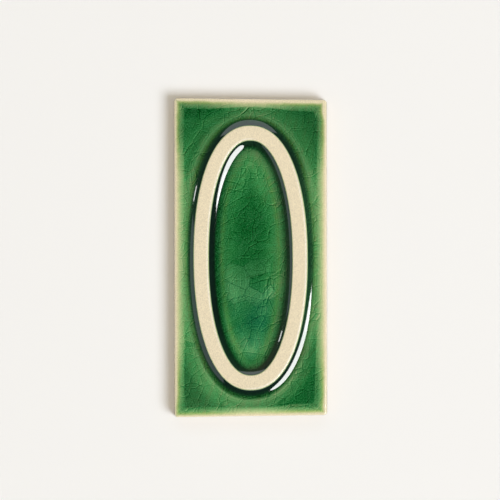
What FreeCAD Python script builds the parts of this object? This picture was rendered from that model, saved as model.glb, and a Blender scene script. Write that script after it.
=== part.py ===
import FreeCAD, Part
import math
import os

# A house number plaque: one pressed ceramic tile with a raised oval numeral 0 and a pooled glaze.
# The tile lies on its back. The origin is the middle of the back, +Z points out of the face and
# +Y towards the top of the numeral. Lengths are in millimetres.

# The slab, measured round its back edge
plaque_height = 152.4
plaque_width = 73.0
slab_thickness = 8.0
side_draft_deg = 2.5
plan_corner_radius = 1.6
arris_radius = 0.8

# The border round the face, and the field that lies a step lower
border_width = 4.6
field_recess = 0.55
step_run = 0.9
step_fillet_radius = 0.6

# The numeral: an even stroke that follows a squared-off oval
numeral_side_margin = 9.5
numeral_end_margin = 13.6
numeral_stroke = 7.1
numeral_rise = 2.0
numeral_edge_radius = 0.35
oval_squareness = 2.19
oval_knots_deg = (0.0, 34.0, 63.0, 90.0)

# The glaze that has pooled and climbed against the numeral
glaze_climb = 1.45
glaze_toe_deg = 8.0
glaze_toe_clearance = 0.6

# The blind keying grooves in the back, for adhesive
groove_count = 6
groove_pitch = 10.4
groove_width = 4.2
groove_depth = 1.0
groove_draft_deg = 20.0
groove_end_margin = 14.0

# How far a solid runs past a surface that it is cut from or joined to
overrun = 1.0


def vector(x, y, z):
    return FreeCAD.Vector(x, y, z)


def polar(radius, angle_deg):
    """The level step of a given length in a given direction."""
    angle = math.radians(angle_deg)
    return vector(radius * math.cos(angle), radius * math.sin(angle), 0)


def rounded_rectangle(width, height, radius, z):
    """A closed wire round a rectangle that is centred on the origin at level z."""
    centre_x = width / 2 - radius
    centre_y = height / 2 - radius
    corners = []
    for turn, (side_x, side_y) in enumerate(((1, 1), (-1, 1), (-1, -1), (1, -1))):
        centre = vector(side_x * centre_x, side_y * centre_y, z)
        corners.append([centre + polar(radius, 90 * turn + swing) for swing in (0, 45, 90)])
    edges = []
    for corner, next_corner in zip(corners, corners[1:] + corners[:1]):
        edges.append(Part.Arc(*corner).toShape())
        edges.append(Part.LineSegment(corner[2], next_corner[0]).toShape())
    return Part.Wire(edges)


def slab():
    """The clay body: sides that lean in, and an eased arris round the face."""
    lean = slab_thickness * math.tan(math.radians(side_draft_deg))
    back = rounded_rectangle(plaque_width, plaque_height, plan_corner_radius, 0)
    face = rounded_rectangle(
        plaque_width - 2 * lean,
        plaque_height - 2 * lean,
        plan_corner_radius - lean,
        slab_thickness,
    )
    body = Part.makeLoft([back, face], True, True)
    rim = [edge for edge in body.Edges if edge.BoundBox.ZMin > slab_thickness - 1e-4]
    return body.makeFillet(arris_radius, rim)


def field_pocket():
    """What is pressed out of the face inside the border, with walls that run down softly."""
    slope = step_run / field_recess
    mouth_z = slab_thickness + overrun
    floor_z = slab_thickness - field_recess
    floor_width = plaque_width - 2 * (border_width + step_run)
    floor_height = plaque_height - 2 * (border_width + step_run)
    spread = 2 * slope * (mouth_z - floor_z)
    floor = rounded_rectangle(floor_width, floor_height, plan_corner_radius, floor_z)
    mouth = rounded_rectangle(
        floor_width + spread, floor_height + spread, plan_corner_radius + spread / 2, mouth_z
    )
    pocket = Part.makeLoft([floor, mouth], True, True)
    foot = [edge for edge in pocket.Edges if edge.BoundBox.ZMax < floor_z + 1e-4]
    return pocket.makeFillet(step_fillet_radius, foot)


def oval_point(half_width, half_height, angle):
    """A point of the curve |x/a|^n + |y/b|^n = 1 in its first quarter, and the heading there."""
    power = 2 / oval_squareness
    x = half_width * math.cos(angle) ** power
    y = half_height * math.sin(angle) ** power
    slope_x = (x / half_width) ** (oval_squareness - 1) / half_width
    slope_y = (y / half_height) ** (oval_squareness - 1) / half_height
    length = math.hypot(slope_x, slope_y)
    return vector(x, y, 0), vector(-slope_y / length, slope_x / length, 0)


def arc_pair(start, start_heading, end, end_heading):
    """Two arcs that leave start and reach end on the given headings, and meet smoothly."""
    chord = end - start
    headings = start_heading + end_heading
    along = chord.dot(headings)
    spread = 2 * (1 - start_heading.dot(end_heading))
    reach = (math.sqrt(along ** 2 + spread * chord.dot(chord)) - along) / spread
    joint = (start + end + (start_heading - end_heading) * reach) * 0.5
    return arc_from_heading(start, start_heading, joint), arc_from_heading(end, end_heading, joint)


def arc_from_heading(point, heading, other):
    """The points of an arc that touches heading at point and runs to other."""
    left = vector(-heading.y, heading.x, 0)
    chord = other - point
    radius = chord.dot(chord) / (2 * left.dot(chord))
    centre = point + left * radius
    middle = (point + other) * 0.5 - centre
    return point, centre + middle * (radius / middle.Length), other


def oval_path(half_width, half_height, z):
    """The oval as a closed wire of tangent arcs, the same in each quarter."""
    knots = [oval_point(half_width, half_height, math.radians(angle)) for angle in oval_knots_deg]
    quarter = []
    for (start, start_heading), (end, end_heading) in zip(knots, knots[1:]):
        quarter += arc_pair(start, start_heading, end, end_heading)
    edges = []
    for flip_x, flip_y in ((1, 1), (-1, 1), (-1, -1), (1, -1)):
        for arc in quarter:
            points = [vector(flip_x * point.x, flip_y * point.y, z) for point in arc]
            edges.append(Part.Arc(*points).toShape())
    return Part.Wire(Part.__sortEdges__(edges))


def glaze_curve(reach):
    """The hollow arc of glaze beside the numeral: three points as run from its wall and height."""
    toe = math.radians(glaze_toe_deg)
    chord = math.atan2(glaze_climb, reach)
    radius = math.hypot(reach, glaze_climb) / (2 * math.sin(chord - toe))
    halfway_run = reach - radius * (math.sin(chord) - math.sin(toe))
    halfway_height = radius * (math.cos(toe) - math.cos(chord))
    return (0, glaze_climb), (halfway_run, halfway_height), (reach, 0)


def numeral_side(centre_x, side):
    """One side of the numeral's section: the crest, the root and the edges between them."""
    field_z = slab_thickness - field_recess
    top_z = field_z + numeral_rise
    half_stroke = numeral_stroke / 2
    reach = numeral_side_margin - border_width - step_run - glaze_toe_clearance
    buried_drop = overrun * math.tan(math.radians(glaze_toe_deg))
    edge_bulge = numeral_edge_radius * (1 - math.sqrt(0.5))

    def point(run, z):
        return vector(centre_x + side * (half_stroke + run), 0, z)

    crest = point(-numeral_edge_radius, top_z)
    turn = point(-edge_bulge, top_z - edge_bulge)
    shoulder = point(0, top_z - numeral_edge_radius)
    wetted, hollow, toe = [point(run, field_z + height) for run, height in glaze_curve(reach)]
    buried = point(reach + overrun, field_z - buried_drop)
    root = point(reach + overrun, field_z - overrun)
    edges = [
        Part.Arc(crest, turn, shoulder).toShape(),
        Part.LineSegment(shoulder, wetted).toShape(),
        Part.Arc(wetted, hollow, toe).toShape(),
        Part.LineSegment(toe, buried).toShape(),
        Part.LineSegment(buried, root).toShape(),
    ]
    return crest, root, edges


def numeral():
    """The raised 0: one section, with glaze climbing both its walls, carried round the oval."""
    half_width = plaque_width / 2 - numeral_side_margin - numeral_stroke / 2
    half_height = plaque_height / 2 - numeral_end_margin - numeral_stroke / 2
    outer_crest, outer_root, outer_edges = numeral_side(half_width, 1)
    inner_crest, inner_root, inner_edges = numeral_side(half_width, -1)
    across_top = Part.LineSegment(inner_crest, outer_crest).toShape()
    across_root = Part.LineSegment(outer_root, inner_root).toShape()
    loop = outer_edges + inner_edges + [across_top, across_root]
    section = Part.Wire(Part.__sortEdges__(loop))

    sweep = Part.BRepOffsetAPI.MakePipeShell(oval_path(half_width, half_height, slab_thickness))
    sweep.setBiNormalMode(vector(0, 0, 1))
    sweep.add(section)
    sweep.build()
    sweep.makeSolid()
    return Part.Solid(sweep.shape())


def groove_outline(x, width, z):
    """A long slot with round ends; its straight sides are as long at every width."""
    radius = width / 2
    straight = plaque_height / 2 - groove_end_margin - groove_width / 2
    right_low = vector(x + radius, -straight, z)
    right_high = vector(x + radius, straight, z)
    left_high = vector(x - radius, straight, z)
    left_low = vector(x - radius, -straight, z)
    head = vector(x, straight + radius, z)
    tail = vector(x, -straight - radius, z)
    edges = [
        Part.LineSegment(right_low, right_high).toShape(),
        Part.Arc(right_high, head, left_high).toShape(),
        Part.LineSegment(left_high, left_low).toShape(),
        Part.Arc(left_low, tail, right_low).toShape(),
    ]
    return Part.Wire(edges)


def keying_groove(x):
    """One blind groove with leaning walls, to be cut from the back."""
    slope = math.tan(math.radians(groove_draft_deg))
    mouth = groove_outline(x, groove_width + 2 * slope * overrun, -overrun)
    floor = groove_outline(x, groove_width - 2 * slope * groove_depth, groove_depth)
    return Part.makeLoft([mouth, floor], True, True)


def plaque():
    """The finished tile."""
    body = slab().cut(field_pocket()).fuse(numeral())
    first_x = -groove_pitch * (groove_count - 1) / 2
    for index in range(groove_count):
        body = body.cut(keying_groove(first_x + index * groove_pitch))
    solids = body.removeSplitter().Solids
    if len(solids) != 1:
        raise ValueError("the plaque should be one solid")
    return solids[0]


os.makedirs("parts", exist_ok=True)
shape = plaque()
shape.exportStep("parts/plaque.step")
box = shape.BoundBox
print("plaque", round(box.XLength, 3), round(box.YLength, 3), round(box.ZLength, 3))
print("volume in cubic centimetres", round(shape.Volume / 1000, 2), "valid", shape.isValid())
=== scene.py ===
import math

import bpy
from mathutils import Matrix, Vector


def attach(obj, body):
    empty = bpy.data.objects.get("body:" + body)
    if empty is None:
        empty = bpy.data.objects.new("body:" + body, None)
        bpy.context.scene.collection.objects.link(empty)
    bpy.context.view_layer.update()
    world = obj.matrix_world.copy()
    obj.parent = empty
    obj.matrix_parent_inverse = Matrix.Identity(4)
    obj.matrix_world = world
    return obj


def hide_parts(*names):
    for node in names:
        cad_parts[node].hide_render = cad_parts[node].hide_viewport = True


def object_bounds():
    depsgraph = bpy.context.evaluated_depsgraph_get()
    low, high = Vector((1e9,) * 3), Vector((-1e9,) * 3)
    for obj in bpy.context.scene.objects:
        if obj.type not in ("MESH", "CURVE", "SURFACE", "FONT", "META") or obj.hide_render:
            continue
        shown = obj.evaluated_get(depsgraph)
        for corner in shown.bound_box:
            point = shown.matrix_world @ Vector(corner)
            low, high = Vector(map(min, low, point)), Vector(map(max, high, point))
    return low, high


bl_info = {
    "name": "Glazed House Number Plaque",
    "version": (1, 0, 0),
    "blender": (4, 5, 0),
    "location": "3D View > Sidebar > Plaque",
    "description": "A crazed green house number plaque with a raised oval 0, and its studio",
    "category": "Object",
}

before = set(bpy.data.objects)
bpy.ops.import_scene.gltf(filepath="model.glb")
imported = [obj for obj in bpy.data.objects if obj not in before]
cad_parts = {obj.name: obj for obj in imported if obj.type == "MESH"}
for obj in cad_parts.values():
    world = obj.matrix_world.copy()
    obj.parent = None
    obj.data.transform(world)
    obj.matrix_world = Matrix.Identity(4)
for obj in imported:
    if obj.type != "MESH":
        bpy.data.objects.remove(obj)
CAD_LOW, CAD_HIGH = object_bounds()
MM = 0.001
PLAQUE_NAME = "plaque_glazed"
LIGHT_HEADING = math.radians(-36.0)
GRAIN_SCALE = 2300.0

# The rows of the face, from the middle of the oval out to the back edge, and how many each has
FACE_ROWS = (
    ("spine", 12),
    ("inner_glaze", 16),
    ("inner_wall", 2),
    ("inner_edge", 4),
    ("crest", 4),
    ("outer_edge", 4),
    ("outer_wall", 2),
    ("outer_glaze", 14),
    ("corner_fill", 12),
    ("step", 9),
    ("border", 7),
    ("arris", 6),
    ("side", 5),
)


class Term:
    """A socket of a node tree that can stand in a formula."""

    def __init__(self, sheet, socket):
        self.sheet = sheet
        self.socket = socket

    def _with(self, operation, *others):
        return self.sheet.math(operation, self, *others)

    def __add__(self, other):
        return self._with("ADD", other)

    def __radd__(self, other):
        return self.sheet.math("ADD", other, self)

    def __sub__(self, other):
        return self._with("SUBTRACT", other)

    def __rsub__(self, other):
        return self.sheet.math("SUBTRACT", other, self)

    def __mul__(self, other):
        return self._with("MULTIPLY", other)

    def __rmul__(self, other):
        return self.sheet.math("MULTIPLY", other, self)

    def __truediv__(self, other):
        return self._with("DIVIDE", other)

    def __rtruediv__(self, other):
        return self.sheet.math("DIVIDE", other, self)

    def __pow__(self, other):
        return self._with("POWER", other)

    def __neg__(self):
        return self._with("MULTIPLY", -1.0)

    def __abs__(self):
        return self._with("ABSOLUTE")

    def sign(self):
        return self._with("SIGN")

    def sin(self):
        return self._with("SINE")

    def cos(self):
        return self._with("COSINE")

    def exp(self):
        return self._with("EXPONENT")

    def least(self, other):
        return self._with("MINIMUM", other)

    def most(self, other):
        return self._with("MAXIMUM", other)

    def above(self, other):
        return self._with("GREATER_THAN", other)

    def below(self, other):
        return self._with("LESS_THAN", other)

    def clamped(self):
        return self.most(0.0).least(1.0)


class Sheet:
    """A node tree that formulas are written into."""

    def __init__(self, tree):
        self.tree = tree

    def node(self, kind, inputs=None, **settings):
        made = self.tree.nodes.new(kind)
        for name, value in settings.items():
            setattr(made, name, value)
        for key, value in (inputs or {}).items():
            self.feed(made.inputs[key], value)
        return made

    def feed(self, socket, value):
        if isinstance(value, Term):
            value = value.socket
        if isinstance(value, bpy.types.NodeSocket):
            self.tree.links.new(value, socket)
        else:
            socket.default_value = value

    def term(self, kind, output=0, inputs=None, **settings):
        return Term(self, self.node(kind, inputs, **settings).outputs[output])

    def math(self, operation, *values):
        return self.term("ShaderNodeMath", 0, dict(enumerate(values)), operation=operation)

    def ramp(self, value, start, end, smooth=False):
        """0 up to start and 1 past end, in a straight or a smooth rise."""
        rise = "SMOOTHSTEP" if smooth else "LINEAR"
        given = {"Value": value, "From Min": start, "From Max": end}
        return self.term("ShaderNodeMapRange", 0, given, interpolation_type=rise)

    def profile(self, value, points):
        """Straight lines from point to point, each point a value and the result there."""
        result = points[0][1]
        for (start, low), (end, high) in zip(points, points[1:]):
            result += self.ramp(value, start, end) * (high - low)
        return result

    def hypot(self, x, y):
        return self.math("SQRT", x * x + y * y)

    def vector(self, x, y, z):
        return self.term("ShaderNodeCombineXYZ", 0, {0: x, 1: y, 2: z})

    def parts(self, vector):
        made = self.node("ShaderNodeSeparateXYZ", {0: vector})
        return [Term(self, output) for output in made.outputs]

    def mix(self, share, first, second):
        return first + (second - first) * share

    def noise(self, position, scale, detail=2.0, roughness=0.5, output=0):
        given = {"Vector": position, "Scale": scale, "Detail": detail, "Roughness": roughness}
        return self.term("ShaderNodeTexNoise", output, given)

    def input(self, name, kind="NodeSocketFloat", default=None):
        socket = self.tree.interface.new_socket(name, in_out="INPUT", socket_type=kind)
        if default is not None:
            socket.default_value = default
        return socket

    def output(self, name, kind="NodeSocketFloat"):
        return self.tree.interface.new_socket(name, in_out="OUTPUT", socket_type=kind)


def length_property(name, description, default):
    return bpy.props.FloatProperty(
        name=name,
        description=description,
        default=default,
        subtype="DISTANCE",
        unit="LENGTH",
        precision=5,
    )


def colour_property(name, description, default):
    return bpy.props.FloatVectorProperty(
        name=name,
        description=description,
        default=default,
        size=3,
        subtype="COLOR",
        min=0.0,
        max=1.0,
    )


def share_property(name, description, default, high=1.0):
    return bpy.props.FloatProperty(
        name=name, description=description, default=default, min=0.0, max=high, subtype="FACTOR"
    )


class PlaqueSizes(bpy.types.PropertyGroup):
    """The sizes of the tile and its numeral."""

    width: length_property("Width", "Across the back", CAD_HIGH.x - CAD_LOW.x)
    height: length_property("Height", "Up the back", CAD_HIGH.y - CAD_LOW.y)
    crest: length_property("Crest", "From the back to the numeral's top", CAD_HIGH.z - CAD_LOW.z)
    rise: length_property("Numeral Rise", "From the field to the numeral's top", 2.0 * MM)
    recess: length_property("Field Recess", "From the border down to the field", 0.55 * MM)
    lean: length_property("Side Lean", "How far each side leans in", 0.35 * MM)
    corner: length_property("Corner Radius", "Of the outline's corners", 1.6 * MM)
    arris: length_property("Arris Radius", "Of the edge round the face", 0.8 * MM)
    border: length_property("Border Width", "From the outline to the step", 4.6 * MM)
    step: length_property("Step Run", "Across the slope of the step", 0.9 * MM)
    border_fall: length_property("Border Fall", "How far the border drops to its edge", 0.12 * MM)
    side_margin: length_property("Side Margin", "Beside the numeral", 9.37 * MM)
    end_margin: length_property("End Margin", "Above and below the numeral", 13.31 * MM)
    stroke: length_property("Stroke", "Across the numeral's stroke", 7.42 * MM)
    edge: length_property("Numeral Edge Radius", "Of the stroke's upper edges", 0.55 * MM)
    bead: share_property("Bead", "How much the edges widen where they face the light", 0.9, 2.0)
    climb: length_property("Glaze Climb", "How high the glaze creeps up the numeral", 1.3 * MM)
    reach: length_property("Glaze Reach", "How far the creeping glaze spreads", 5.2 * MM)
    dimple: length_property("Dimple Depth", "Of the hand-made waves in the glaze", 0.05 * MM)
    groove_width: length_property("Groove Width", "Across a keying groove's mouth", 4.2 * MM)
    groove_pitch: length_property("Groove Pitch", "From groove to groove", 10.4 * MM)
    groove_depth: length_property("Groove Depth", "Of a keying groove", 1.0 * MM)
    groove_margin: length_property("Groove Margin", "From the outline to a groove", 14.0 * MM)
    groove_inset: length_property("Groove Draft", "How far a groove's walls lean in", 0.36 * MM)
    groove_count: bpy.props.IntProperty(
        name="Grooves", description="Number of keying grooves in the back", default=6, min=1
    )
    around: bpy.props.IntProperty(
        name="Face Columns", description="Vertices round the numeral", default=880, min=64
    )
    squareness: bpy.props.FloatProperty(
        name="Squareness", description="Exponent of the numeral's oval", default=2.19, min=2.0
    )
    askew: bpy.props.FloatProperty(
        name="Numeral Turn",
        description="How far the numeral is turned on the tile",
        default=math.radians(0.12),
        subtype="ANGLE",
        unit="ROTATION",
    )
    foot_short: share_property("Foot Short", "Lost from the height at the foot", 0.0045)
    right_short: share_property("Right Side Short", "Lost from the height to the right", 0.0129)
    seed: bpy.props.FloatProperty(name="Seed", description="Of the waves", default=3.7)


class PlaqueFinish(bpy.types.PropertyGroup):
    """The colours and strengths of the glaze and the clay."""

    clay: colour_property("Clay", "Bare fired clay", (0.822, 0.720, 0.517))
    crazing: share_property("Crazing", "Strength of the craze lines and brush marks", 1.0, 2.0)
    mottle: share_property("Mottle", "Strength of the glaze's cloudiness", 0.5)
    milk: share_property("Milk", "Cloud in the glaze low down inside the numeral", 1.0)


class PlaqueStudio(bpy.types.PropertyGroup):
    """The floor's colour and the camera."""

    floor_colour: colour_property("Floor", "Colour of the surface below", (0.926, 0.924, 0.918))
    distance: length_property("Camera Height", "Above the surface", 1.1)
    field: length_property("Field Width", "Width of the picture at the surface", 0.23866)
    shift_x: length_property("Camera X", "Sideways from the plaque's middle", -0.26 * MM)
    shift_y: length_property("Camera Y", "Upwards from the plaque's middle", 3.75 * MM)
    turn: bpy.props.FloatProperty(
        name="Turn",
        description="The plaque's turn in the picture",
        default=math.radians(0.08),
        subtype="ANGLE",
        unit="ROTATION",
    )


def spread(sheet, inputs):
    """The columns' headings round the oval, closer together where the outline has its corners."""
    corner_crowding = 0.17
    across, along, _ = sheet.parts(sheet.term("GeometryNodeInputPosition"))
    turn = (across + 0.5) * math.tau
    angle = turn + (turn * 4.0).sin() * corner_crowding
    row = (along + 0.5) * float(sum(count for _, count in FACE_ROWS))
    power = 2.0 / inputs["Squareness"]
    cosine = angle.cos()
    sine = angle.sin()
    heading = [
        cosine.sign() * abs(cosine) ** power,
        sine.sign() * abs(sine) ** power,
    ]
    return row, heading


def stages(sheet, row):
    """How far each band of rows has been crossed, from 0 to 1."""
    passed = {}
    start = 0
    for name, count in FACE_ROWS:
        passed[name] = sheet.ramp(row, float(start), float(start + count))
        start += count
    return passed


def outline_point(sheet, inputs, heading, inset):
    """Where a column crosses the rounded rectangle that lies some way inside the outline."""
    radius = inputs["Corner"]
    reach = abs(heading[0]).most(abs(heading[1]))
    straights = [inputs["Width"] / 2.0 - inset - radius, inputs["Height"] / 2.0 - inset - radius]
    square = [(radius + straight) * part / reach for straight, part in zip(straights, heading)]
    beyond = [(abs(part) - straight).most(0.0) for straight, part in zip(straights, square)]
    pull = radius / sheet.hypot(*beyond)
    return [
        part.sign() * (abs(part).least(straight) + past * pull)
        for part, straight, past in zip(square, straights, beyond)
    ]


def face_fields(sheet, inputs):
    """How far each band is passed, each vertex's place, and the marks that the glaze reads."""
    quarter = math.pi / 2
    crowding = 1.6
    row, heading = spread(sheet, inputs)
    passed = stages(sheet, row)
    side = passed["crest"]
    half_stroke = inputs["Stroke"] / 2.0
    edge = inputs["Edge"]
    arris = inputs["Arris"]
    deep_inside = half_stroke + 5.4 * MM
    far_outside = half_stroke + 3.4 * MM
    half_width = inputs["Width"] / 2.0 - inputs["Side Margin"] - half_stroke
    half_height = inputs["Height"] / 2.0 - inputs["End Margin"] - half_stroke

    slope_power = inputs["Squareness"] - 1.0
    slope = [
        heading[0].sign() * abs(heading[0]) ** slope_power / half_width,
        heading[1].sign() * abs(heading[1]) ** slope_power / half_height,
    ]
    steepness = sheet.hypot(*slope)
    normal = [part / steepness for part in slope]
    facing = normal[0] * math.cos(LIGHT_HEADING) + normal[1] * math.sin(LIGHT_HEADING)
    lit_outside = sheet.ramp(facing, 0.3, 0.75, smooth=True)
    lit_inside = sheet.ramp(-facing, 0.3, 0.75, smooth=True)
    bead = inputs["Bead"]
    inner_run = edge * (1.0 + bead * lit_inside)
    outer_run = edge * (1.0 + bead * lit_outside)

    inner_share = 1.0 - (1.0 - passed["inner_glaze"]) ** crowding
    outer_share = passed["outer_glaze"] ** crowding
    offset = (deep_inside - half_stroke) * inner_share - deep_inside
    offset += inner_run * (1.0 - (passed["inner_edge"] * quarter).cos())
    offset += (half_stroke * 2.0 - inner_run - outer_run) * passed["crest"]
    offset += outer_run * (passed["outer_edge"] * quarter).sin()
    offset += (far_outside - half_stroke) * outer_share
    beside = [
        heading[0] * half_width + offset * normal[0],
        heading[1] * half_height + offset * normal[1],
    ]
    spine_share = 0.72
    spine_y = (heading[1] * half_height - deep_inside * normal[1]) * spine_share
    askew = inputs["Askew"]
    beside = [beside[0] - beside[1] * askew, beside[1] + beside[0] * askew]

    beyond_step = 0.3 * MM
    before_step = 0.2 * MM
    inset_start = inputs["Border"] + inputs["Step"] + beyond_step
    inset_lip = inputs["Border"] - before_step
    inset_arris = inputs["Lean"] + arris
    inset = inset_start - (inset_start - inset_lip) * passed["step"]
    inset -= (inset_lip - inset_arris) * passed["border"]
    inset -= arris * (passed["arris"] * quarter).sin()
    inset -= inputs["Lean"] * passed["side"]
    outer = outline_point(sheet, inputs, heading, inset)

    x = sheet.mix(passed["corner_fill"], beside[0] * passed["spine"], outer[0])
    y = sheet.mix(passed["spine"], spine_y, beside[1])
    y = sheet.mix(passed["corner_fill"], y, outer[1])

    onward = (x - beside[0]) * normal[0] + (y - beside[1]) * normal[1]
    sideways = (y - beside[1]) * normal[0] - (x - beside[0]) * normal[1]
    flatness = abs(heading[0] * heading[1]).most(0.02) ** (inputs["Squareness"] - 2.0)
    bend = (half_width * half_height) ** 2.0 * steepness ** 3.0 / (slope_power * flatness)
    bend += far_outside
    past = 2.0 * bend * onward + onward * onward + sideways * sideways
    past /= (sheet.hypot(bend + onward, sideways) + bend)
    gap = abs(offset) - half_stroke + sheet.mix(side, -onward, past)
    edge_gap = (inputs["Width"] / 2.0 - abs(x)).least(inputs["Height"] / 2.0 - abs(y))

    swell_inside = (1.0 - side) * lit_inside
    swell_outside = side * lit_outside
    climb = inputs["Climb"] * (1.0 + swell_inside * 0.088 - swell_outside * 0.069)
    reach = inputs["Reach"] * (1.0 + swell_inside * 0.016 - swell_outside * 0.098)
    wall = inputs["Rise"] - climb - edge
    field = inputs["Crest"] - inputs["Rise"]
    lip = inputs["Border"]
    fall = (1.0 - edge_gap / lip).clamped()
    climb_power = 1.7
    z = field + climb * (1.0 - gap.most(0.0) / reach).clamped() ** climb_power
    z += wall * (passed["inner_wall"] - passed["outer_wall"])
    z += edge * (passed["inner_edge"] * quarter).sin()
    z -= edge * (1.0 - (passed["outer_edge"] * quarter).cos())
    step = 1.0 - sheet.ramp(edge_gap, lip * 0.5, lip * 1.6, smooth=True)
    z = z + inputs["Recess"] * step - inputs["Border Fall"] * fall * fall
    z -= arris * (1.0 - (passed["arris"] * quarter).cos())
    z *= (1.0 - passed["side"])
    inside = 1.0 - passed["inner_wall"]
    # The share of the numeral's edge that faces the light, which the clay reads to place its painted
    # highlight line.
    light_facing_share = swell_inside + swell_outside
    marks = {"numeral_gap": gap, "edge_gap": edge_gap, "inside_oval": inside, "light_facing_share": light_facing_share}
    return passed, sheet.vector(x, y, z), marks


def hand_made(sheet, inputs, geometry):
    """The small waves of the glaze, and the outline's slight want of square."""
    wave_scale = 45.0
    position = sheet.term("GeometryNodeInputPosition")
    x, y, z = sheet.parts(position)
    seed_shift = sheet.vector(inputs["Seed"], 0.0, 0.0)
    moved = sheet.term("ShaderNodeVectorMath", 0, {0: position, 1: seed_shift}, operation="ADD")
    wave = sheet.noise(moved, wave_scale, 1.0)
    height_share = (z / inputs["Crest"]).clamped()
    lowered = z - inputs["Dimple"] * wave * height_share
    near_end = abs(y * 2.0 / inputs["Height"]) ** 8.0
    to_foot = 0.5 - y / inputs["Height"]
    to_right = x / inputs["Width"] + 0.5
    shorter = 1.0 - near_end * (inputs["Foot Short"] * to_foot + inputs["Right Short"] * to_right)
    place = sheet.vector(x, y * shorter, lowered)
    return sheet.term("GeometryNodeSetPosition", 0, {"Geometry": geometry, "Position": place})


def groove_shells(sheet, inputs):
    """The mouths of the keying grooves as curves, and their walls and floors as a mesh."""
    width = inputs["Groove Width"]
    length = inputs["Height"] - inputs["Groove Margin"] * 2.0
    bar = sheet.term(
        "GeometryNodeCurvePrimitiveQuadrilateral", 0, {"Width": width, "Height": length}
    )
    given = {"Curve": bar, "Radius": width / 2.0, "Limit Radius": True, "Count": 12}
    outline = sheet.term("GeometryNodeFilletCurve", 0, given, mode="POLY")

    count = inputs["Groove Count"]
    pitch = inputs["Groove Pitch"]
    first = sheet.vector(pitch * (1.0 - count) / 2.0, 0.0, 0.0)
    given = {"Count": count, "Start Location": first, "Offset": sheet.vector(pitch, 0.0, 0.0)}
    places = sheet.term("GeometryNodeMeshLine", 0, given)

    given = {"Points": places, "Instance": outline}
    outlines = sheet.term("GeometryNodeInstanceOnPoints", 0, given)
    mouths = sheet.term("GeometryNodeRealizeInstances", 0, {0: outlines})

    plug = sheet.term("GeometryNodeFillCurve", 0, {"Curve": outline}, mode="NGONS")
    up = sheet.vector(0.0, 0.0, inputs["Groove Depth"])
    given = {"Mesh": plug, "Offset": up, "Offset Scale": 1.0, "Individual": False}
    raised = sheet.node("GeometryNodeExtrudeMesh", given, mode="FACES")
    x, y, z = sheet.parts(sheet.term("GeometryNodeInputPosition"))
    radius = width / 2.0
    straight = length / 2.0 - radius
    along = y.most(-straight).least(straight)
    shrink = (radius - inputs["Groove Inset"]) / radius
    drawn_in = sheet.vector(x * shrink, along + (y - along) * shrink, z)
    given = {
        "Geometry": Term(sheet, raised.outputs["Mesh"]),
        "Selection": Term(sheet, raised.outputs["Top"]),
        "Position": drawn_in,
    }
    shell = sheet.term("GeometryNodeSetPosition", 0, given)
    shell = sheet.term("GeometryNodeFlipFaces", 0, {"Mesh": shell})
    given = {"Points": places, "Instance": shell}
    shells = sheet.term("GeometryNodeInstanceOnPoints", 0, given)
    return mouths, sheet.term("GeometryNodeRealizeInstances", 0, {0: shells})


def joined(sheet, *geometries):
    made = sheet.node("GeometryNodeJoinGeometry")
    for geometry in reversed(geometries):
        sheet.tree.links.new(geometry.socket, made.inputs[0])
    return Term(sheet, made.outputs[0])


def merged(sheet, geometry):
    given = {"Geometry": geometry, "Distance": 0.01 * MM}
    return sheet.term("GeometryNodeMergeByDistance", 0, given)


FORM_INPUTS = tuple((name.replace("_", " ").title(), name) for name in PlaqueSizes.__annotations__)
WHOLE_NUMBERS = ("Groove Count", "Around")


def form_tree(glaze, clay):
    """The rule of the plaque's shape, as a Geometry Nodes tree."""
    tree = bpy.data.node_groups.new("plaque_form", "GeometryNodeTree")
    sheet = Sheet(tree)
    sheet.output("Geometry", "NodeSocketGeometry")
    for name, _ in FORM_INPUTS:
        sheet.input(name, "NodeSocketInt" if name in WHOLE_NUMBERS else "NodeSocketFloat")
    group_in = tree.nodes.new("NodeGroupInput")
    inputs = {name: Term(sheet, group_in.outputs[name]) for name, _ in FORM_INPUTS}

    row_count = sum(count for _, count in FACE_ROWS)
    columns = inputs["Around"] + 1.0
    given = {"Size X": 1.0, "Size Y": 1.0, "Vertices X": columns, "Vertices Y": row_count + 1}
    grid = sheet.term("GeometryNodeMeshGrid", 0, given)
    passed, place, marks = face_fields(sheet, inputs)
    on_numeral = passed["inner_wall"].above(0.0) * passed["outer_wall"].below(1.0)
    bare = (on_numeral + passed["side"].above(0.0)).above(0.5)
    face = sheet.term("GeometryNodeSetMaterial", 0, {"Geometry": grid, "Material": glaze})
    given = {"Geometry": face, "Selection": bare, "Material": clay}
    face = sheet.term("GeometryNodeSetMaterial", 0, given)
    for name, value in marks.items():
        given = {"Geometry": face, "Name": name, "Value": value}
        face = sheet.term("GeometryNodeStoreNamedAttribute", 0, given, data_type="FLOAT")
    face = sheet.term("GeometryNodeSetPosition", 0, {"Geometry": face, "Position": place})
    face = merged(sheet, sheet.term("GeometryNodeFlipFaces", 0, {"Mesh": face}))

    faces_beside = sheet.term("GeometryNodeInputMeshEdgeNeighbors")
    rim_only = faces_beside.below(1.5)
    given = {"Mesh": face, "Selection": rim_only}
    rim = sheet.term("GeometryNodeMeshToCurve", 0, given)
    mouths, shells = groove_shells(sheet, inputs)
    back = sheet.term("GeometryNodeFillCurve", 0, {"Curve": joined(sheet, rim, mouths)})
    back = sheet.term("GeometryNodeFlipFaces", 0, {"Mesh": back})
    back = joined(sheet, back, shells)
    back = sheet.term("GeometryNodeSetMaterial", 0, {"Geometry": back, "Material": clay})
    given = {"Geometry": back, "Shade Smooth": False}
    back = sheet.term("GeometryNodeSetShadeSmooth", 0, given)
    given = {"Geometry": face, "Shade Smooth": True}
    face = sheet.term("GeometryNodeSetShadeSmooth", 0, given)
    whole = merged(sheet, joined(sheet, face, back))
    whole = hand_made(sheet, inputs, whole)
    whole = sheet.term("GeometryNodeRealizeInstances", 0, {0: whole})
    group_out = tree.nodes.new("NodeGroupOutput")
    tree.links.new(whole.socket, group_out.inputs[0])
    return tree


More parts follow.
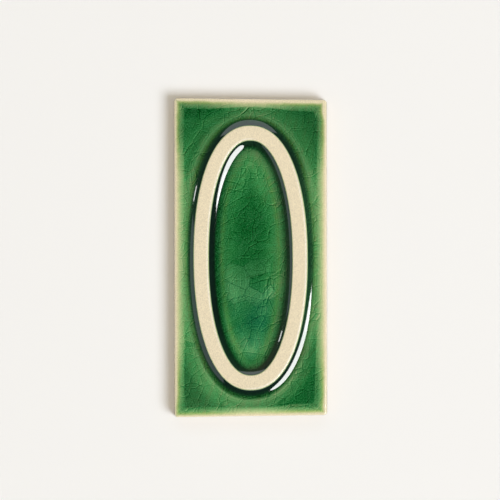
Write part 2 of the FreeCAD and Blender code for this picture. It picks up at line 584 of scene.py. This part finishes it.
def plain_mesh(tree, settings, name):
    """The tree's result at the given settings, as a plain mesh object."""
    holder = bpy.data.objects.new(name, bpy.data.meshes.new(name))
    bpy.context.scene.collection.objects.link(holder)
    modifier = holder.modifiers.new("form", "NODES")
    modifier.node_group = tree
    identifiers = {item.name: item.identifier for item in tree.interface.items_tree}
    for label, attribute in FORM_INPUTS:
        modifier[identifiers[label]] = getattr(settings, attribute)
    evaluated = holder.evaluated_get(bpy.context.evaluated_depsgraph_get())
    mesh = bpy.data.meshes.new_from_object(evaluated)
    holder.modifiers.remove(modifier)
    for index in reversed(range(len(mesh.materials))):
        if mesh.materials[index] is None:
            mesh.materials.pop(index=index)
    holder.data = mesh
    mesh.name = name
    return holder


def attribute(sheet, name):
    """One of the face's stored lengths, in millimetres."""
    return sheet.term("ShaderNodeAttribute", "Fac", attribute_name=name) / MM


def shader_group(name):
    tree = bpy.data.node_groups.new(name, "ShaderNodeTree")
    group_in = tree.nodes.new("NodeGroupInput")
    group_out = tree.nodes.new("NodeGroupOutput")
    return Sheet(tree), group_in, group_out


def clay_body_group():
    """Fired clay: its colour with faint specks and clouds, and the grain of its skin."""
    cloud_share = 0.06
    speck_share = 0.42
    sheet, group_in, group_out = shader_group("clay_body")
    sheet.input("Colour", "NodeSocketColor", (0.8, 0.7, 0.5, 1.0))
    sheet.output("Colour", "NodeSocketColor")
    sheet.output("Grain")
    position = sheet.term("ShaderNodeTexCoord", "Object")
    cloud = sheet.noise(position, 90.0, 2.0)
    speck = sheet.noise(position, GRAIN_SCALE, 0.0)
    level = 1.0 + (cloud - 0.5) * cloud_share + (speck - 0.5) * speck_share
    given = {0: Term(sheet, group_in.outputs["Colour"]), "Scale": level}
    tinted = sheet.term("ShaderNodeVectorMath", 0, given, operation="SCALE")
    sheet.tree.links.new(tinted.socket, group_out.inputs["Colour"])
    sheet.tree.links.new(speck.socket, group_out.inputs["Grain"])
    return sheet.tree


def glaze_dye_group():
    """The clay's colour as seen through glaze of some depth; Iron makes the glaze olive."""
    sheet, group_in, group_out = shader_group("glaze_dye")
    sheet.input("Colour", "NodeSocketColor", (0.8, 0.7, 0.5, 1.0))
    sheet.input("Depth")
    sheet.input("Iron")
    sheet.output("Colour", "NodeSocketColor")
    depth = Term(sheet, group_in.outputs["Depth"]).most(0.0)
    iron = Term(sheet, group_in.outputs["Iron"])
    given = {"Color": Term(sheet, group_in.outputs["Colour"])}
    split = sheet.node("ShaderNodeSeparateColor", given)
    red_dye = (1.0, 1.0, 0.0)
    green_dye = (0.46, 0.87, 0.0)
    blue_dye = (0.95, 0.75, 1.0)
    channels = []
    for output, dye in zip(split.outputs, (red_dye, green_dye, blue_dye)):
        strength, power, iron_share = dye
        passed = (depth ** power * -strength - iron * iron_share).exp()
        channels.append(Term(sheet, output) * passed)
    colour = sheet.term("ShaderNodeCombineColor", 0, dict(enumerate(channels)))
    sheet.tree.links.new(colour.socket, group_out.inputs["Colour"])
    return sheet.tree


def craze_lines(sheet, position, scale, half_width, randomness=1.0):
    """1 on the lines of a crackle, 0 between them."""
    given = {"Vector": position, "Scale": scale, "Randomness": randomness}
    beside = sheet.term("ShaderNodeTexVoronoi", "Distance", given, feature="DISTANCE_TO_EDGE")
    return 1.0 - sheet.ramp(beside, 0.0, half_width * scale)


def bump(value, centre, half_width):
    """1 at the centre, falling to 0 on both sides of it."""
    return (1.0 - abs(value - centre) / half_width).most(0.0)


class GlazePlace:
    """Where a point of the glaze lies: lengths in millimetres, and shares of each part of the face."""

    def __init__(self, sheet, position):
        self.gap = attribute(sheet, "numeral_gap")
        self.edge = attribute(sheet, "edge_gap")
        self.inside = sheet.term("ShaderNodeAttribute", "Fac", attribute_name="inside_oval")
        self.x, self.y, _ = [part / MM for part in sheet.parts(position)]
        self.cloud = sheet.noise(position, 60.0, 3.0) - 0.5
        self.ragged = (sheet.noise(position, 260.0, 2.0) - 0.5) * 0.8
        self.to_left = (-self.x / 15.0).clamped()
        self.to_right = (self.x / 15.0).clamped()
        self.diagonal = (self.x * self.y / -1400.0).most(-1.0).least(1.0)
        self.upper = sheet.ramp(self.y, 30.0, 60.0)
        self.lower = sheet.ramp(-self.y, 30.0, 60.0)
        self.top = sheet.ramp(self.y, 48.0, 62.0)
        self.foot = sheet.ramp(-self.y, 48.0, 62.0)
        self.near_end = sheet.ramp(abs(self.y), 65.0, 69.0)
        self.low_left = self.to_left * sheet.ramp(-self.y, 20.0, 45.0)
        self.high_left = self.to_left * sheet.ramp(self.y, 20.0, 45.0)
        self.high_right = self.to_right * sheet.ramp(self.y, 20.0, 45.0)
        across = self.gap + self.edge
        self.neck = 1.0 - sheet.ramp(across, 11.0, 15.5)
        self.at_corner = sheet.ramp(across, 13.5, 20.0)
        self.flank = self.neck * (1.0 - sheet.ramp(abs(self.y), 50.0, 58.0))


def border_coat(sheet, at):
    """The glaze's depth and shade on the border, and the way in from where it starts."""
    late = (at.x / 90.0 + 0.18 + at.upper * 0.45) * at.near_end
    late += at.lower * (1.0 - at.near_end) * 0.25
    late -= (1.0 - at.at_corner) * at.lower * at.near_end * 0.35
    edge = at.edge + at.ragged - late
    by_neck = sheet.profile(edge, (
        (0.8, 0.0), (1.3, 0.05), (2.1, 0.32), (3.1, 0.74), (4.1, 1.18), (5.0, 1.5), (6.4, 1.95)))
    by_corner = sheet.profile(edge, (
        (0.9, 0.05), (1.4, 0.30), (1.8, 0.60), (2.6, 1.28), (3.6, 1.85), (4.1, 2.2), (4.6, 2.6)))
    depth = sheet.mix(at.at_corner, by_neck, by_corner)
    thinner = at.to_right * at.upper * at.at_corner * at.near_end
    depth -= thinner * sheet.ramp(edge, 2.8, 4.5) * 0.35

    darker = at.upper * (0.16 + at.at_corner * 0.14) + at.lower * at.at_corner * 0.12
    darker -= at.lower * sheet.ramp(-at.y, 69.5, 71.5) * 0.12
    darker -= at.to_right * 0.06
    shade = 1.02 - darker * sheet.ramp(edge, 1.0, 2.4)
    shade -= at.to_right * at.at_corner * sheet.ramp(edge, 3.8, 4.8) * 0.13
    return depth, shade, edge


def outer_coat(sheet, at):
    """The glaze's depth between the numeral and the border, and its shade, which is painted shade that
    darkens the glaze towards the numeral's foot.
    """
    gap = at.gap
    low_right = at.to_right * at.lower * sheet.ramp(gap, 10.0, 12.0)
    faint_ring = bump(gap, 5.2, 0.35) + bump(gap, 6.5, 0.3) * 0.6
    faint_ring *= (1.0 - at.neck)

    depth = sheet.profile(gap, (
        (1.0, 3.2), (2.4, 2.5), (3.3, 2.27), (3.8, 2.12), (4.8, 2.06), (5.7, 2.1), (6.3, 2.25),
        (7.2, 2.6), (8.1, 2.95), (9.3, 3.1), (11.0, 3.42), (13.1, 3.75), (16.2, 3.85)))
    depth = depth + at.diagonal * sheet.ramp(gap, 7.5, 11.5) * 0.5 + at.top * 0.18
    depth = depth + at.diagonal.most(0.0) * bump(gap, 7.6, 2.8) * 0.45 + low_right * 0.8
    depth += at.foot * sheet.profile(gap, (
        (2.4, 1.7), (2.9, 1.6), (3.8, 1.0), (4.3, 0.2), (4.8, -0.35)))
    depth -= at.flank * sheet.profile(gap, (
        (2.5, 0.0), (3.3, 0.2), (5.7, 0.05), (6.3, 0.2), (8.1, 0.75)))
    depth -= (1.0 - at.at_corner) * at.near_end * sheet.ramp(gap, 6.5, 8.5) * 0.6
    depth += at.near_end * at.at_corner * at.upper * 0.4
    depth += at.low_left * (bump(gap, 6.0, 3.0) * 0.25 - 0.05)
    depth += at.low_left * (1.0 - at.near_end) * sheet.ramp(gap, 9.0, 13.0) * 0.3
    depth -= at.high_left * (1.0 - at.near_end * 1.5) * sheet.ramp(gap, 9.0, 11.0) * 0.7
    depth += at.top * (1.0 - sheet.ramp(gap, 2.6, 3.4)) * 0.55
    depth -= faint_ring * 0.25

    # Painted shade: the glaze is darkened towards the numeral's foot, where the wall shades it; the
    # depth profile above is the glaze pooling there.
    shade = sheet.profile(gap, (
        (1.0, 0.10), (2.0, 0.15), (2.4, 0.21), (2.9, 0.28), (3.3, 0.35), (3.8, 0.45), (4.3, 0.56),
        (4.8, 0.66), (5.3, 0.72), (5.7, 0.77), (6.3, 0.80), (9.3, 0.87), (11.0, 0.86),
        (13.0, 0.82), (16.0, 0.76)))
    shade += at.at_corner * at.near_end * 0.03
    shade += (1.0 - at.to_right) * (at.flank + at.lower) * bump(gap, 3.2, 0.9) * 0.12
    pale_bend = sheet.ramp(gap, 4.1, 4.8) * (1.0 - sheet.ramp(gap, 9.0, 13.5))
    shade += at.low_left * pale_bend * 0.17
    shade += at.high_right * sheet.ramp(gap, 7.0, 14.0) * 0.1
    shade += at.to_right * at.flank * 0.1
    shade -= at.top * sheet.ramp(gap, 5.2, 5.8) * 0.09
    shade += at.foot * bump(gap, 5.6, 1.6) * 0.1
    shade += at.flank * sheet.profile(gap, ((2.0, 0.05), (3.3, 0.27), (5.3, 0.17), (8.0, 0.19)))
    shade += at.diagonal * sheet.ramp(gap, 8.0, 12.0) * 0.14
    shade += at.top * bump(gap, 3.8, 1.0) * 0.06
    shade += faint_ring * 0.1
    return depth, shade


def inner_coat(sheet, at):
    """The glaze's depth inside the numeral, and its shade, which is painted shade that darkens the
    glaze towards the numeral's foot.
    """
    gap = at.gap
    y = at.y
    mid_left = at.to_left * (1.0 - sheet.ramp(y, 15.0, 40.0) * 0.7)
    mid_left *= (1.0 - sheet.ramp(-y, 20.0, 45.0) * 0.5)
    low_inside = sheet.ramp(-y, 25.0, 48.0) * (1.0 - at.low_left)

    depth = sheet.profile(gap, (
        (2.0, 2.3), (2.4, 2.45), (2.9, 2.65), (3.4, 2.7), (3.8, 2.55), (4.3, 2.36), (4.8, 2.28),
        (5.7, 2.28), (6.3, 2.38), (7.2, 2.65), (8.1, 3.15), (9.3, 3.4), (11.0, 3.8), (13.1, 4.35),
        (16.2, 4.7)))
    depth += bump(y, -31.0, 12.0) * sheet.ramp(gap, 5.5, 9.5) * 1.9
    depth -= bump(y, -12.0, 10.0) * sheet.ramp(at.x, 4.0, 9.0) * 0.4
    depth += mid_left * sheet.profile(gap, (
        (2.4, 4.4), (2.9, 2.6), (3.8, 2.9), (4.3, 2.2), (4.8, 1.6), (5.2, 1.1), (5.7, 0.75),
        (6.3, 0.6), (7.2, 0.8), (7.7, 0.95), (9.3, 0.7), (11.0, 0.6), (13.0, 0.5)))
    depth += at.low_left * bump(gap, 5.0, 1.6) * 0.35
    depth += at.low_left * bump(gap, 2.9, 1.8) * 2.3
    depth -= sheet.ramp(-y, 2.0, 32.0) * sheet.ramp(gap, 6.2, 12.0) * 1.9
    depth -= sheet.ramp(y, 20.0, 50.0) * sheet.profile(gap, (
        (6.5, 0.15), (9.3, 0.5), (11.0, 1.4)))
    high_pool = bump(gap, 8.6, 1.4) * 0.5 + 0.5
    depth += at.to_left * sheet.ramp(y, 15.0, 40.0) * high_pool
    depth += low_inside * sheet.profile(gap, (
        (2.0, -1.2), (2.4, -0.8), (3.3, -0.45), (3.8, -0.1), (4.3, 0.2), (6.3, 0.15), (7.2, 0.0)))
    depth += sheet.ramp(-y, 44.0, 52.0) * sheet.ramp(gap, 4.3, 6.0) * 1.7
    depth += sheet.ramp(y, 42.0, 50.0) * (1.0 - sheet.ramp(gap, 3.3, 4.0)) * 1.3
    depth -= low_inside * bump(gap, 6.0, 1.5) * 0.4

    # Painted shade: the glaze is darkened towards the numeral's foot, where the wall shades it; the
    # depth profiles above are the glaze pooling there.
    shade = sheet.profile(gap, (
        (1.0, 0.12), (2.2, 0.13), (2.9, 0.28), (3.4, 0.40), (3.8, 0.48), (4.3, 0.55), (4.8, 0.60),
        (5.3, 0.67), (5.7, 0.72), (6.3, 0.78), (7.2, 0.87), (8.1, 0.96), (9.3, 1.03),
        (11.0, 1.07), (16.0, 0.98)))
    shade += mid_left * bump(gap, 3.6, 1.2) * 0.3
    shade += at.low_left * bump(gap, 5.8, 4.0) * 0.6
    shade += at.high_right * bump(gap, 6.0, 3.6) * 0.22
    shade += sheet.ramp(y, 15.0, 45.0) * sheet.ramp(gap, 7.5, 9.5) * 0.1
    shade -= low_inside * (1.0 - sheet.ramp(gap, 2.2, 3.2)) * 0.05
    shade += low_inside * bump(gap, 5.2, 1.2) * 0.13
    shade += sheet.ramp(-y, 40.0, 50.0) * bump(gap, 5.8, 1.8) * 0.12
    return depth, shade


def glaze_layers(sheet, finish, position):
    """The glaze's depth over the clay, its shade (painted shade towards the numeral's foot), how olive
    and how milky it is.
    """
    coat_share = 1.07
    at = GlazePlace(sheet, position)
    border_depth, border_shade, border_edge = border_coat(sheet, at)
    outer_depth, outer_shade = outer_coat(sheet, at)
    inner_depth, inner_shade = inner_coat(sheet, at)

    by_end = 1.15 + at.x * 0.027 + at.upper * (at.x * -0.008 - 0.07)
    by_end = sheet.mix(at.at_corner, -0.15, by_end)
    inward = sheet.mix(at.near_end, 0.3 + at.to_right * at.lower * 1.1, by_end)
    step_edge = at.edge + at.ragged * 0.4 - inward
    over_step = sheet.ramp(step_edge, sheet.mix(at.neck, 4.5, 3.9), sheet.mix(at.neck, 5.0, 6.4))
    depth = sheet.mix(over_step, border_depth, sheet.mix(at.inside, outer_depth, inner_depth))
    depth *= (1.0 + at.cloud * finish.mottle)
    shade = sheet.mix(over_step, border_shade, sheet.mix(at.inside, outer_shade, inner_shade))

    iron = bump(border_edge, 2.3, 1.1) * sheet.mix(at.at_corner, 0.05, 0.3)
    olive_outside = (1.0 - at.inside) * (1.0 - at.neck * 0.6)
    iron += bump(at.gap, 3.3, 1.2) * olive_outside * 0.4
    olive_inside = at.inside * (1.0 - sheet.ramp(abs(at.y), 35.0, 50.0))
    iron += bump(at.gap, 6.3, 1.5) * olive_inside * 0.22
    deep = sheet.ramp(at.gap, 6.0, 10.0) * at.inside
    milk = deep * sheet.ramp(-at.y, 8.0, 28.0) * (1.0 + at.cloud * 3.0) * finish.milk
    return depth, shade * coat_share, iron, milk


def nudged(sheet, position, x, y):
    """The position moved by a fixed way across the face."""
    given = {0: position, 1: (x, y, 0.0)}
    return sheet.term("ShaderNodeVectorMath", 0, given, operation="ADD")


def nudged_by(sheet, position, colour, reach):
    """The position moved by a noise's colour, up to half the reach either way."""
    given = {0: colour, 1: (0.5, 0.5, 0.5)}
    centred = sheet.term("ShaderNodeVectorMath", 0, given, operation="SUBTRACT")
    given = {0: centred, "Scale": reach}
    shift = sheet.term("ShaderNodeVectorMath", 0, given, operation="SCALE")
    return sheet.term("ShaderNodeVectorMath", 0, {0: position, 1: shift}, operation="ADD")


def crackle_lines(sheet, position, shown):
    """The wide and the finer net of craze lines, each with a pale side towards the light."""
    wide_scale = 105.0
    wide_line = 0.24 * MM
    fine_scale = 230.0
    fine_line = 0.2 * MM
    fine_order = 0.8
    wander = nudged_by(sheet, position, sheet.noise(position, 55.0, 2.0, output=1), 4.0 * MM)
    lit_side = nudged(sheet, wander, 0.3 * MM, -0.3 * MM)
    wide = craze_lines(sheet, wander, wide_scale, wide_line)
    wide -= craze_lines(sheet, lit_side, wide_scale, wide_line) * 0.6
    fine = craze_lines(sheet, wander, fine_scale, fine_line, fine_order)
    fine -= craze_lines(sheet, lit_side, fine_scale, fine_line, fine_order) * 0.7
    wide_shown = sheet.ramp(shown, 0.40, 0.55)
    fine_shown = sheet.ramp(sheet.noise(position, 120.0, 1.0), 0.38, 0.52)
    return wide * (0.4 + wide_shown * 0.6) + fine * fine_shown * 0.9


def brush_strokes(sheet, position):
    """Short strokes, whose direction changes from cell to cell."""
    cell_scale = 85.0
    stroke_scale = 650.0
    stroke_squeeze = 0.12
    main_turn = 0.95
    turn_range = 1.6
    x, y, _ = sheet.parts(position)
    given = {"Vector": position, "Scale": cell_scale}
    cell = sheet.parts(sheet.term("ShaderNodeTexVoronoi", "Color", given))
    turn = (cell[1] - 0.5) * turn_range + main_turn
    along = x * turn.cos() + y * turn.sin()
    across = y * turn.cos() - x * turn.sin()
    stroke_place = sheet.vector(along * stroke_squeeze, across, cell[2] * 0.1)
    return sheet.noise(stroke_place, stroke_scale, 2.0, 0.6) - 0.5


def flat_facets(sheet, position):
    """The flat flakes below the middle of the numeral, and the seams between them."""
    facet_scale = 110.0
    seam_half_width = 0.3 * MM
    middle = -13.0
    half_spread = 16.0
    gap = attribute(sheet, "numeral_gap")
    inside = sheet.term("ShaderNodeAttribute", "Fac", attribute_name="inside_oval")
    _, y, _ = sheet.parts(position)
    window = bump(y / MM, middle, half_spread) * sheet.ramp(gap, 6.0, 9.0) * inside
    place = nudged(sheet, position, 23.0 * MM, -6.0 * MM)
    given = {"Vector": place, "Scale": facet_scale}
    chance = sheet.parts(sheet.term("ShaderNodeTexVoronoi", "Color", given))[0]
    flakes = sheet.ramp(chance, 0.50, 0.52) * window
    return flakes, craze_lines(sheet, place, facet_scale, seam_half_width) * window


def glaze_marks(sheet, position):
    """What the crackle and the brush marks add to the glaze's depth, its shade and its veil."""
    ripple_pitch = 1.15
    gap = attribute(sheet, "numeral_gap")
    shown = sheet.noise(position, 70.0, 1.0)
    crackle = crackle_lines(sheet, position, shown)
    brush = brush_strokes(sheet, position)
    grain = sheet.noise(position, GRAIN_SCALE, 0.0) - 0.5
    ripple_shown = sheet.ramp(sheet.noise(position, 40.0, 1.0), 0.40, 0.60)
    ripple = (gap * (math.tau / ripple_pitch) + shown * 14.0).sin() * ripple_shown
    flakes, seams = flat_facets(sheet, position)
    depth = crackle * 1.25 + brush * 2.8 + grain * 1.2 + ripple * 0.15 - flakes * 0.65 + seams * 1.3
    shade = 1.0 + brush * 1.1 + grain * 0.95 - crackle * 0.24 - seams * 0.25
    veil = brush * 1.4 + grain * 2.0 - crackle * 0.22 + flakes * 0.55
    return depth, shade, veil


def glaze_material(finish):
    """Green glaze, pale where it is thin over the clay, darkened by painted shade towards the
    numeral's foot, with fine craze lines in it.
    """
    material = bpy.data.materials.new("crazed_green_glaze")
    material.use_nodes = True
    sheet = Sheet(material.node_tree)
    position = sheet.term("ShaderNodeTexCoord", "Object")
    depth, shade, iron, milk = glaze_layers(sheet, finish, position)
    marks, mark_shade, veil = glaze_marks(sheet, position)
    strength = sheet.ramp(depth, 0.3, 2.5) * finish.crazing
    shade *= 1.0 + (mark_shade - 1.0) * strength
    veil = veil * strength * shade
    depth += marks * strength

    clay = sheet.node("ShaderNodeGroup", node_tree=bpy.data.node_groups["clay_body"])
    clay.inputs["Colour"].default_value = (*finish.clay, 1.0)
    dye = sheet.node("ShaderNodeGroup", node_tree=bpy.data.node_groups["glaze_dye"])
    sheet.feed(dye.inputs["Colour"], Term(sheet, clay.outputs["Colour"]))
    sheet.feed(dye.inputs["Depth"], depth)
    sheet.feed(dye.inputs["Iron"], iron)
    split = sheet.node("ShaderNodeSeparateColor", {"Color": Term(sheet, dye.outputs["Colour"])})
    milk_colour = (0.0, 0.008, 0.018)
    veil_colour = (0.03, 0.045, 0.035)
    channels = [
        (Term(sheet, output) * shade + milk * cloudy + veil * veiled).most(0.0)
        for output, cloudy, veiled in zip(split.outputs, milk_colour, veil_colour)
    ]
    colour = sheet.term("ShaderNodeCombineColor", 0, dict(enumerate(channels)))
    shader = material.node_tree.nodes["Principled BSDF"]
    sheet.feed(shader.inputs["Base Color"], colour)
    shader.inputs["Roughness"].default_value = 0.05
    shader.inputs["IOR"].default_value = 1.6
    shader.inputs["Coat Weight"].default_value = 1.0
    shader.inputs["Coat Roughness"].default_value = 0.02
    return material


def clay_material(finish):
    """Bare cream clay, matt on the crest and glassier on the edges the glaze has wetted, with a
    painted highlight: a paler line along the numeral's edges that face the light.
    """
    material = bpy.data.materials.new("cream_clay")
    material.use_nodes = True
    sheet = Sheet(material.node_tree)
    clay = sheet.node("ShaderNodeGroup", node_tree=bpy.data.node_groups["clay_body"])
    clay.inputs["Colour"].default_value = (*finish.clay, 1.0)
    gap = attribute(sheet, "numeral_gap")
    # How far each edge faces the light; it places the wetted gloss and the painted highlight line.
    bead = sheet.term("ShaderNodeAttribute", "Fac", attribute_name="light_facing_share")
    true_edge = attribute(sheet, "edge_gap")
    on_numeral = true_edge.above(3.0)
    wetted = sheet.ramp(gap + bead * 0.45, -0.7, -0.35) * on_numeral
    dye = sheet.node("ShaderNodeGroup", node_tree=bpy.data.node_groups["glaze_dye"])
    # Painted highlight: a paler line just inside the numeral's edges on the sides that face the light.
    line = bump(gap, -0.95, 0.5) * bead
    bare_side = 1.0 - sheet.ramp(true_edge, 0.3, 0.5)
    body = sheet.node("ShaderNodeSeparateColor", {"Color": Term(sheet, clay.outputs["Colour"])})
    highlight_paler = (0.09, 0.17, 0.34)
    side_duller = (0.5, 0.57, 0.64)
    channels = [
        Term(sheet, output) * (1.0 + line * paler) * (1.0 - bare_side * duller)
        for output, paler, duller in zip(body.outputs, highlight_paler, side_duller)
    ]
    paled = sheet.term("ShaderNodeCombineColor", 0, dict(enumerate(channels)))
    sheet.feed(dye.inputs["Colour"], paled)
    sheet.feed(dye.inputs["Depth"], sheet.ramp(gap, -0.5, 0.05) * on_numeral * 1.4)
    shader = material.node_tree.nodes["Principled BSDF"]
    sheet.feed(shader.inputs["Base Color"], Term(sheet, dye.outputs["Colour"]))
    sheet.feed(shader.inputs["Roughness"], sheet.mix(wetted, 0.8, 0.25))
    sheet.feed(shader.inputs["Coat Weight"], wetted)
    shader.inputs["Coat Roughness"].default_value = 0.2
    shader.inputs["Specular IOR Level"].default_value = 0.3
    grain = sheet.node("ShaderNodeBump", {"Height": Term(sheet, clay.outputs["Grain"])})
    grain.inputs["Strength"].default_value = 0.2
    grain.inputs["Distance"].default_value = 0.05 * MM
    sheet.feed(shader.inputs["Normal"], Term(sheet, grain.outputs["Normal"]))
    return material


class PLAQUE_OT_build_plaque(bpy.types.Operator):
    """Make the glazed plaque from its rule and give it its finish"""

    bl_idname = "plaque.build_plaque"
    bl_label = "Build Plaque"

    def execute(self, context):
        scene = context.scene
        clay_body_group()
        glaze_dye_group()
        glaze = glaze_material(scene.plaque_finish)
        clay = clay_material(scene.plaque_finish)
        tree = form_tree(glaze, clay)
        piece = plain_mesh(tree, scene.plaque_sizes, PLAQUE_NAME)
        if not piece.data.polygons:
            raise RuntimeError("the plaque's rule made no faces")
        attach(piece, "root")
        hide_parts("plaque")
        return {"FINISHED"}


def studio_lamp(
    name, azimuth, elevation, size, radiance, distance=4.0, colour=(1.0, 1.0, 1.0), shape="ELLIPSE"
):
    """A lamp that faces the plaque's middle; size is as seen, in degrees across and up."""
    around = math.radians(azimuth)
    up = math.radians(elevation)
    place = Vector((math.cos(around) * math.cos(up), math.sin(around) * math.cos(up), math.sin(up)))
    width, height = [2.0 * distance * math.tan(math.radians(angle) / 2.0) for angle in size]
    data = bpy.data.lights.new(name, "AREA")
    data.shape = shape
    data.size = width
    data.size_y = height
    filled = math.pi / 4.0 if shape == "ELLIPSE" else 1.0
    data.energy = radiance * math.pi * width * height * filled
    data.color = colour
    lamp = bpy.data.objects.new(name, data)
    lamp.location = place * distance
    lamp.rotation_euler = place.to_track_quat("Z", "Y").to_euler()
    lamp.visible_camera = False
    bpy.context.scene.collection.objects.link(lamp)
    return lamp


def room_world():
    """A room that is pale low down and dark overhead, so that the flat glaze stays clear."""
    low_band = 0.4
    shoulder = 0.08
    overhead = 0.02
    world = bpy.data.worlds.new("room")
    world.use_nodes = True
    sheet = Sheet(world.node_tree)
    direction = sheet.parts(sheet.term("ShaderNodeTexCoord", "Generated"))
    height = sheet.math("ARCSINE", direction[2]) * math.degrees(1.0)
    strength = low_band - sheet.ramp(height, 37.0, 43.0) * (low_band - shoulder)
    strength -= sheet.ramp(height, 50.0, 66.0) * (shoulder - overhead)
    warm = (0.35, 0.33, 0.31)
    cool = (0.6, 0.9, 1.15)
    rays = sheet.node("ShaderNodeLightPath")
    mirrored = Term(sheet, rays.outputs["Is Glossy Ray"])
    tint = [sheet.mix(mirrored, *pair) for pair in zip(warm, cool)]
    background = world.node_tree.nodes["Background"]
    sheet.feed(background.inputs["Color"], sheet.vector(*tint))
    camera_ray = Term(sheet, rays.outputs["Is Camera Ray"])
    sheet.feed(background.inputs["Strength"], sheet.mix(camera_ray, strength, 0.9))
    return world


def studio_lamps():
    """A shadow lamp and a soft fill that only light, and lamps that the glaze mirrors."""
    key = studio_lamp(
        "key", -34.5, 49.5, (32.0, 32.0), 9.2, distance=8.0, colour=(0.957, 1.0, 1.07)
    )
    key.visible_glossy = False
    fill = studio_lamp(
        "fill", 0.0, 90.0, (40.0, 40.0), 2.93, distance=6.0, colour=(1.0, 0.872, 0.665)
    )
    fill.visible_glossy = False
    fill.data.use_shadow = False
    panel = "RECTANGLE"
    cool = (0.88, 0.95, 1.0)
    cooler = (0.9, 1.0, 1.12)
    studio_lamp("top_panel", 92.5, 47.3, (53.5, 18.5), 0.96, colour=cool, shape=panel)
    studio_lamp("left_panel", 201.5, 45.6, (38.0, 16.2), 0.48, colour=cooler, shape=panel)
    softbox = studio_lamp("softbox", -35.5, 57.0, (32.8, 16.0), 9.5)
    tail = studio_lamp("tail", -11.5, 57.0, (6.6, 3.5), 9.0)
    glint = studio_lamp("glint", 166.3, 52.5, (2.5, 2.8), 7.0, shape=panel)
    for lamp in (softbox, tail, glint):
        lamp.visible_diffuse = False


class PLAQUE_OT_build_studio(bpy.types.Operator):
    """Make the pale surface, the lamps and the camera"""

    bl_idname = "plaque.build_studio"
    bl_label = "Build Studio"

    def execute(self, context):
        scene = context.scene
        studio = scene.plaque_studio
        scene.view_settings.view_transform = "Standard"
        half = 3.0
        level = -0.2 * MM
        signs = ((-1.0, -1.0), (1.0, -1.0), (1.0, 1.0), (-1.0, 1.0))
        corners = [(half * across, half * along, level) for across, along in signs]
        floor_mesh = bpy.data.meshes.new("floor")
        floor_mesh.from_pydata(corners, [], [(0, 1, 2, 3)])
        floor = bpy.data.objects.new("floor", floor_mesh)
        scene.collection.objects.link(floor)
        paper = bpy.data.materials.new("paper")
        paper.use_nodes = True
        shader = paper.node_tree.nodes["Principled BSDF"]
        shader.inputs["Base Color"].default_value = (*studio.floor_colour, 1.0)
        shader.inputs["Roughness"].default_value = 1.0
        shader.inputs["Specular IOR Level"].default_value = 0.0
        floor_mesh.materials.append(paper)
        scene.world = room_world()

        studio_lamps()

        camera_data = bpy.data.cameras.new("camera")
        camera_data.sensor_width = 36.0
        camera_data.lens = camera_data.sensor_width * studio.distance / studio.field
        camera = bpy.data.objects.new("camera", camera_data)
        camera.location = (studio.shift_x, studio.shift_y, studio.distance)
        camera.rotation_euler = (0.0, 0.0, -studio.turn)
        scene.collection.objects.link(camera)
        scene.camera = camera
        return {"FINISHED"}


class PLAQUE_PT_panel(bpy.types.Panel):
    """Lists the plaque's settings and steps"""

    bl_label = "House Number Plaque"
    bl_idname = "PLAQUE_PT_panel"
    bl_space_type = "VIEW_3D"
    bl_region_type = "UI"
    bl_category = "Plaque"

    def draw(self, context):
        layout = self.layout
        for setting, _ in SETTINGS:
            group = getattr(context.scene, setting)
            box = layout.box()
            for name in group.__annotations__:
                box.prop(group, name)
        layout.operator(PLAQUE_OT_build_plaque.bl_idname)
        layout.operator(PLAQUE_OT_build_studio.bl_idname)


CLASSES = (
    PlaqueSizes,
    PlaqueFinish,
    PlaqueStudio,
    PLAQUE_OT_build_plaque,
    PLAQUE_OT_build_studio,
    PLAQUE_PT_panel,
)
SETTINGS = (
    ("plaque_sizes", PlaqueSizes),
    ("plaque_finish", PlaqueFinish),
    ("plaque_studio", PlaqueStudio),
)


def register():
    for item in CLASSES:
        bpy.utils.register_class(item)
    for name, group in SETTINGS:
        setattr(bpy.types.Scene, name, bpy.props.PointerProperty(type=group))


def unregister():
    for name, _ in SETTINGS:
        delattr(bpy.types.Scene, name)
    for item in reversed(CLASSES):
        bpy.utils.unregister_class(item)


def main():
    register()
    bpy.ops.plaque.build_plaque()
    bpy.ops.plaque.build_studio()


if __name__ == "__main__":
    main()
